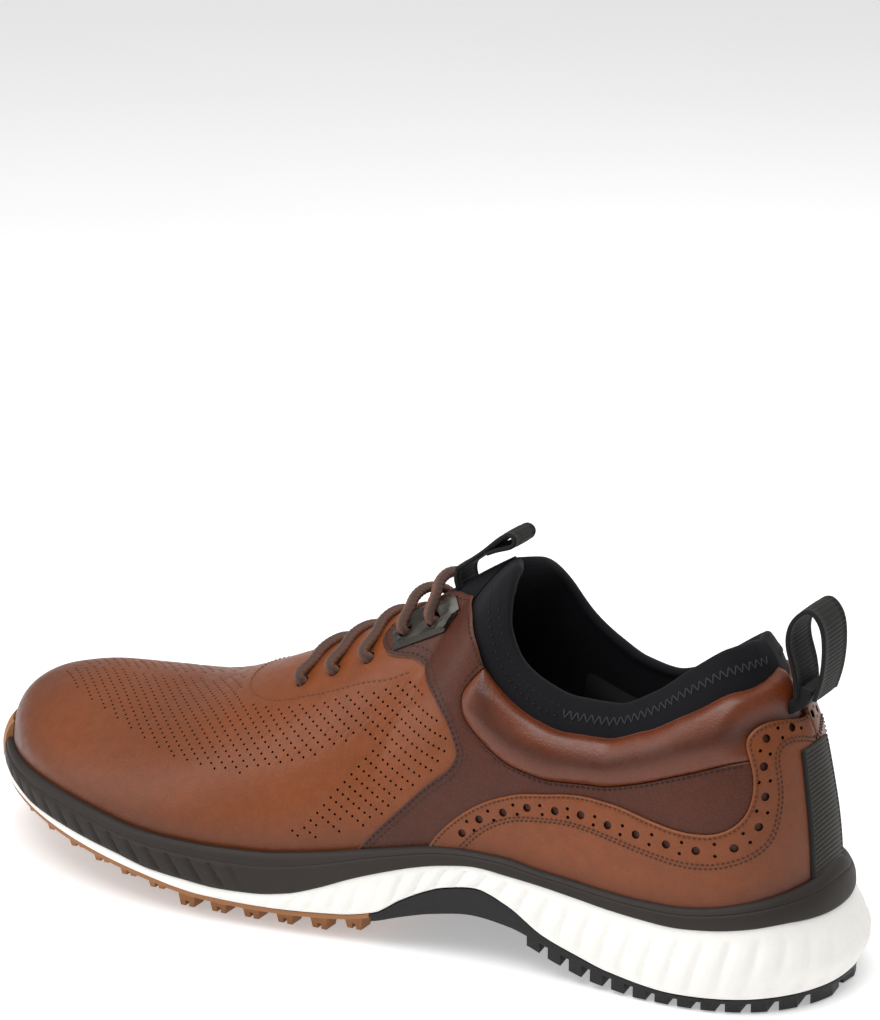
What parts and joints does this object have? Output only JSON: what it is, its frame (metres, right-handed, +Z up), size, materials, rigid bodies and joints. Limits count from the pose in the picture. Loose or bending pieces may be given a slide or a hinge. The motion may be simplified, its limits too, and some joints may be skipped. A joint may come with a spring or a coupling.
{
  "type": "golf shoe",
  "caption": "Left low golf shoe with a stretch bootie collar, leather vamp and quarters, brogued heel overlay, foam midsole and a lugged spikeless rubber sole that flexes at the toes.",
  "frame": {"origin": "middle of the footprint box at ground level", "axes": "+X from heel to toe, +Y towards the outer (little-toe) side of this left shoe, +Z up"},
  "size_m": [0.301, 0.1052, 0.1259],
  "materials": {
    "foxing_rubber": "matt, rubbed",
    "midsole_foam": "matt moulded foam",
    "shank_plastic": "moulded",
    "board": "pressed fibre board",
    "footbed_foam": "open foam",
    "footbed_cloth": "knitted",
    "black_rubber": "matt",
    "gum_rubber": "matt gum",
    "tan_leather": "smooth, burnished",
    "brown_leather": "tumbled grain",
    "collar_leather": "glossy, soft grain",
    "webbing": "ribbed webbing",
    "neoprene": "smooth knit face",
    "lining_cloth": "knitted",
    "stiffener": "moulded sheet",
    "collar_padding": "open foam",
    "eyelet_plate": "satin gunmetal",
    "lace_cord": "braided"
  },
  "bodies": {
    "rearfoot": {"foxing_band": "foxing_rubber", "midsole": "midsole_foam", "shank": "shank_plastic", "insole_board": "board", "footbed_foam": "footbed_foam", "footbed_cover": "footbed_cloth", "heel_outsole": "black_rubber", "forefoot_outsole": "gum_rubber", "forefoot_lugs_rear": "gum_rubber", "vamp": "tan_leather", "quarter_lateral": "brown_leather", "quarter_medial": "brown_leather", "collar_panel_lateral": "collar_leather", "collar_panel_medial": "collar_leather", "heel_overlay_lateral": "tan_leather", "heel_overlay_medial": "tan_leather", "heel_strip": "webbing", "bootie_collar": "neoprene", "bootie_tongue": "neoprene", "vamp_lining": "lining_cloth", "heel_counter": "stiffener", "collar_foam": "collar_padding", "ankle_lining": "lining_cloth", "eyelet_plate_lateral": "eyelet_plate", "eyelet_plate_medial": "eyelet_plate", "lace": "lace_cord"},
    "forefoot": {"forefoot_lugs_front": "gum_rubber", "toe_bumper": "gum_rubber", "toe_puff": "stiffener"},
    "heel_loop": {"heel_loop": "webbing"},
    "tongue_tab": {"tongue_tab": "webbing"}
  },
  "joints": [
    {"name": "forefoot_flex", "type": "hinge", "parent": "rearfoot", "child": "forefoot", "pos_m": [0.04987, 0, 0.012], "axis": [0, -1, 0], "range_deg": [0, 30], "stiffness_Nm_per_rad": 1.2, "deforming": ["midsole", "foxing_band", "forefoot_outsole", "insole_board", "footbed_foam", "footbed_cover", "vamp", "vamp_lining"]},
    {"name": "heel_loop_tilt", "type": "hinge", "parent": "rearfoot", "child": "heel_loop", "pos_m": [-0.13413, -0.00123, 0.0924], "axis": [0, -1, 0], "range_deg": [-5, 80], "stiffness_Nm_per_rad": 0.01},
    {"name": "tongue_tab_tilt", "type": "hinge", "parent": "rearfoot", "child": "tongue_tab", "pos_m": [-0.02063, -0.00123, 0.1092], "axis": [0, 1, 0], "range_deg": [0, 70], "stiffness_Nm_per_rad": 0.01}
  ]
}
